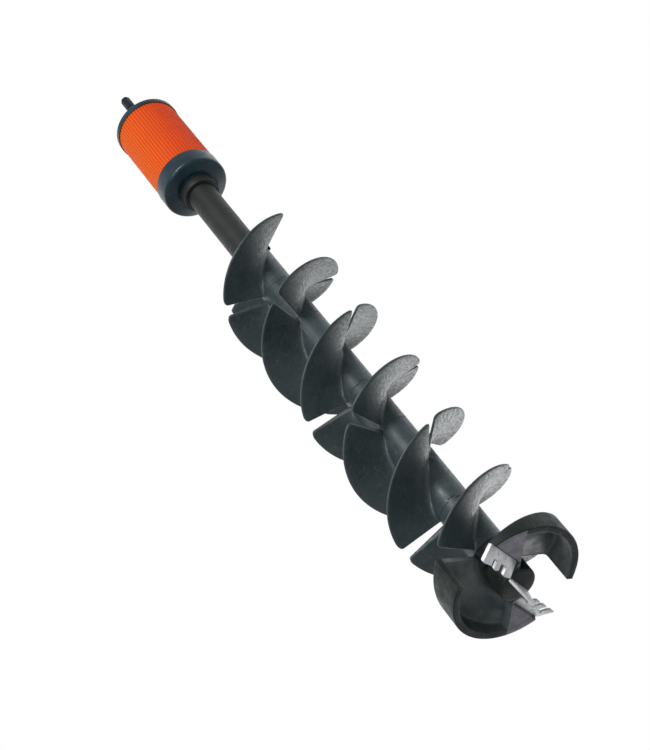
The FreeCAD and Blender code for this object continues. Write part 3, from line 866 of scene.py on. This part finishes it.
def grips(low, high):
    """Shallow flutes round the outer wall of a cap."""
    def ripple(degrees, r, z):
        inside = r > 0.0415 and low < z < high
        wave = 0.5 + 0.5 * math.cos(math.radians(degrees * GRIP_COUNT))
        return -GRIP_DEPTH * wave if inside else 0.0
    return ripple


def float_shell():
    """The orange body with its fine axial ribs."""
    low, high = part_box("float_shell")
    outer = high.x
    inner = outer - SHELL_WALL
    hidden = 0.001              # how far the ribs run on under each cap
    first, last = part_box("float_bottom_cap")[1].z - hidden, FLOAT_LIP_TOP + hidden
    step = 0.0004               # height over which the ribs begin

    def ripple(degrees, r, z):
        if r < inner + RIB_DEPTH:
            return 0.0
        wave = 0.5 - 0.5 * math.cos(math.radians(degrees * RIB_COUNT))
        groove = max(0.0, 1 - wave / RIB_FLANK) ** 0.7
        return -RIB_DEPTH * (groove if first < z < last else 1.0)

    outline = [(inner, low.z), (outer, low.z), (outer, first), (outer, first + step)]
    span = last - first - 2 * step
    outline += [(outer, first + step + span * i / SHELL_STEPS) for i in range(1, SHELL_STEPS + 1)]
    outline += [(outer, last), (outer, high.z), (inner, high.z)]
    return turned_ring("float_shell_ribbed", outline, steps=RIB_COUNT * RIB_STEPS, ripple=ripple)


# ---------------------------------------------------------------- build

def build_flights():
    """The modules, in place of their CAD nodes."""
    for index, piece in enumerate(flight_modules()):
        stands_for(piece, "flight_module_%d" % (index + 1), "auger", COMPOSITE)


def mill_flats(head):
    """Give the flat faces behind the blades, level with the rim, the bare milled finish."""
    head.data.materials.append(FLAT)
    for face in head.data.polygons:
        level = abs(face.center.z - RIM_Z) < 0.0005 and face.normal.z < -0.9
        behind = (math.degrees(math.atan2(face.center.y, face.center.x)) - BLADE_DEG) % 180
        if level and face.center.xy.length > SLEEVE_R and behind < ARM_END_DEG - BLADE_DEG + HEEL_DEG:
            face.material_index = 1


def build_head():
    """The casting and its two blades; the teeth are pairs of inner and outer radius."""
    head = cutting_head()
    stands_for(head, "cutting_head", "auger", CAST)
    mill_flats(head)
    teeth_a = ((BLADE_INNER_R, 0.0355), (0.046, 0.0535), (0.0605, CUT_R))
    teeth_b = ((0.0395, 0.046), (0.0535, 0.060), (0.0695, CUT_R))
    for name, teeth, depth, slant, turn in (("blade_a", teeth_a, 0.010, 0.002, 0),
                                            ("blade_b", teeth_b, 0.013, 0.005, 180)):
        stands_for(blade(name + "_teeth", teeth, depth, slant, turn), name, "auger", GROUND)


def build_float():
    """The float's shell and caps; its foam and bushes are the CAD's own."""
    low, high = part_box("float_bottom_cap")
    bottom = turned_ring("float_bottom_cap_fluted", cap_outline("float_bottom_cap", False), CAP_STEPS,
                         grips(low.z + 0.006, high.z - 0.001))
    stands_for(bottom, "float_bottom_cap", "float", BLACK)
    low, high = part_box("float_top_cap")
    top = turned_ring("float_top_cap_fluted", cap_outline("float_top_cap", True), CAP_STEPS,
                      grips(FLOAT_LIP_TOP + 0.001, high.z - 0.003))
    stands_for(top, "float_top_cap", "float", BLACK)
    stands_for(float_shell(), "float_shell", "float", ORANGE)


def button_coil():
    """The coil spring behind the snap button, with a closed turn at each end."""
    low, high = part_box("button_spring")
    centre = (low + high) / 2
    wire, turns, steps = 0.00035, 7, 32
    radius = high.y - centre.y - wire
    knots = [(0, low.x + wire), (1, low.x + 3 * wire), (turns - 1, high.x - 3 * wire), (turns, high.x - wire)]
    rings = []
    for i in range(turns * steps + 1):
        turn = i / steps
        (first, x), (last, x_next) = next(pair for pair in zip(knots, knots[1:]) if turn <= pair[1][0])
        x += (x_next - x) * (turn - first) / (last - first)
        way = math.radians(360 * turn)
        out = Vector((0, math.cos(way), math.sin(way)))
        middle = Vector((x, centre.y, centre.z)) + out * radius
        across = [math.radians(36 * j) for j in range(10)]
        rings.append([middle + wire * (out * math.cos(a) + Vector((math.sin(a), 0, 0))) for a in across])
    return sweep("button_coil", rings)


def build_button_spring():
    """The coil spring behind the snap button, in bright steel, with a mesh of its own."""
    coil = button_coil()
    stands_for(coil, "button_spring", "auger", BRIGHT)
    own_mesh(coil)


def build_small_parts():
    """Machined parts get rounded edges; parts that are hidden or plainly round keep the CAD's mesh."""
    edged = [("drive_shank", "dark_steel", DARK), ("shank_plug", "aluminium_plug", ALUMINIUM),
             ("lock_collar", "black_composite", COMPOSITE), ("float_collar", "black_tube", COAT),
             ("pilot_point", "blade_steel", GROUND), ("blade_screws", "blade_steel", GROUND)]
    for node_name, slot_name, material in edged:
        stands_for(softened(node_name), node_name, "auger", material)
    plain = {"drive_tube": COAT, "shank_cross_pin": BRIGHT, "snap_button": DARK, "button_guide": NYLON,
             "float_core": FOAM, "float_lower_bush": NYLON,
             "float_upper_bush": NYLON, "collar_set_screw": DARK, "lower_washer": BLACK,
             "upper_washer": BRIGHT, "retaining_ring": BRIGHT, "head_bolt": DARK, "head_nut": DARK}
    for node_name, material in plain.items():
        paint(NODES[node_name], material)


# ---------------------------------------------------------------- stage

def floor():
    """The pale studio floor, well below the auger."""
    size = 60.0
    piece = mesh_object("floor", *box_mesh((-size, -size, FLOOR_Z - 0.02), (size, size, FLOOR_Z)))
    made = Finish("pale_floor", 0.85)
    made.colour(made.ramp(made.noise(2, 3), (0.50, 0.50, 0.50), (0.52, 0.52, 0.52)))
    paint(piece, made.material)


def area_light(name, place, target, size, power):
    """A white rectangular light that faces a point."""
    light = bpy.data.lights.new(name, "AREA")
    light.shape = "RECTANGLE"
    light.size, light.size_y = size
    light.energy = power
    lamp = bpy.data.objects.new(name, light)
    lamp.location = place
    lamp.rotation_euler = (Vector(target) - Vector(place)).to_track_quat("-Z", "Y").to_euler()
    bpy.context.scene.collection.objects.link(lamp)


def lights():
    """A soft key and fill in front, and a low broad light behind that the flights mirror."""
    middle = (0, 0, 0.45)
    area_light("key", (-0.2, -2.9, 1.4), middle, (0.8, 0.8), 76)
    area_light("fill", (-1.2, -2.6, -0.5), middle, (1.4, 1.2), 32)
    area_light("back", (0.3, 2.4, 0.1), middle, (2.0, 1.6), 18)


def world():
    """White backdrop for the camera; the object sees it bright behind and dim in front."""
    made = bpy.data.worlds.new("studio")
    bpy.context.scene.world = made
    made.use_nodes = True
    tree = made.node_tree
    tree.nodes.clear()
    output = node(tree, "ShaderNodeOutputWorld")
    seen = node(tree, "ShaderNodeBackground", Color=(1, 1, 1, 1), Strength=1.0)
    lit = node(tree, "ShaderNodeBackground", Strength=1.5)
    place = node(tree, "ShaderNodeTexCoord")
    parts = node(tree, "ShaderNodeSeparateXYZ")
    shades = node(tree, "ShaderNodeValToRGB")
    shades.color_ramp.elements[0].position = 0.0
    shades.color_ramp.elements[1].position = 0.75
    shades.color_ramp.elements[0].color = (0.10, 0.11, 0.115, 1)
    shades.color_ramp.elements[1].color = (0.95, 0.98, 1.0, 1)
    tree.links.new(place.outputs["Generated"], parts.inputs[0])
    tree.links.new(map_range(tree, parts.outputs["Y"], (-1.0, 1.0, 0.0, 1.0)), shades.inputs[0])
    tree.links.new(shades.outputs[0], lit.inputs["Color"])
    path = node(tree, "ShaderNodeLightPath")
    choose = node(tree, "ShaderNodeMixShader")
    tree.links.new(path.outputs["Is Camera Ray"], choose.inputs[0])
    tree.links.new(lit.outputs[0], choose.inputs[1])
    tree.links.new(seen.outputs[0], choose.inputs[2])
    tree.links.new(choose.outputs[0], output.inputs["Surface"])


def camera():
    """The camera, placed by its rise, roll and distance from the point it looks at."""
    rise = math.radians(CAMERA_RISE)
    ahead = Vector((0, math.cos(rise), -math.sin(rise)))
    level_up = Vector((0, math.sin(rise), math.cos(rise)))
    roll = math.radians(CAMERA_ROLL)
    right = Vector((1, 0, 0))
    up = level_up * math.cos(roll) + right * math.sin(roll)
    across = right * math.cos(roll) - level_up * math.sin(roll)
    made = bpy.data.cameras.new("camera")
    made.lens = CAMERA_LENS
    made.sensor_width = 36
    eye = bpy.data.objects.new("camera", made)
    turn = Matrix((across, up, -ahead)).transposed()
    eye.matrix_world = Matrix.Translation(AIM - ahead * CAMERA_DISTANCE) @ turn.to_4x4()
    bpy.context.scene.collection.objects.link(eye)
    bpy.context.scene.camera = eye


bpy.context.scene.view_settings.view_transform = "Standard"
camera()
world()
lights()
floor()
build_flights()
build_head()
build_float()
build_small_parts()
build_button_spring()
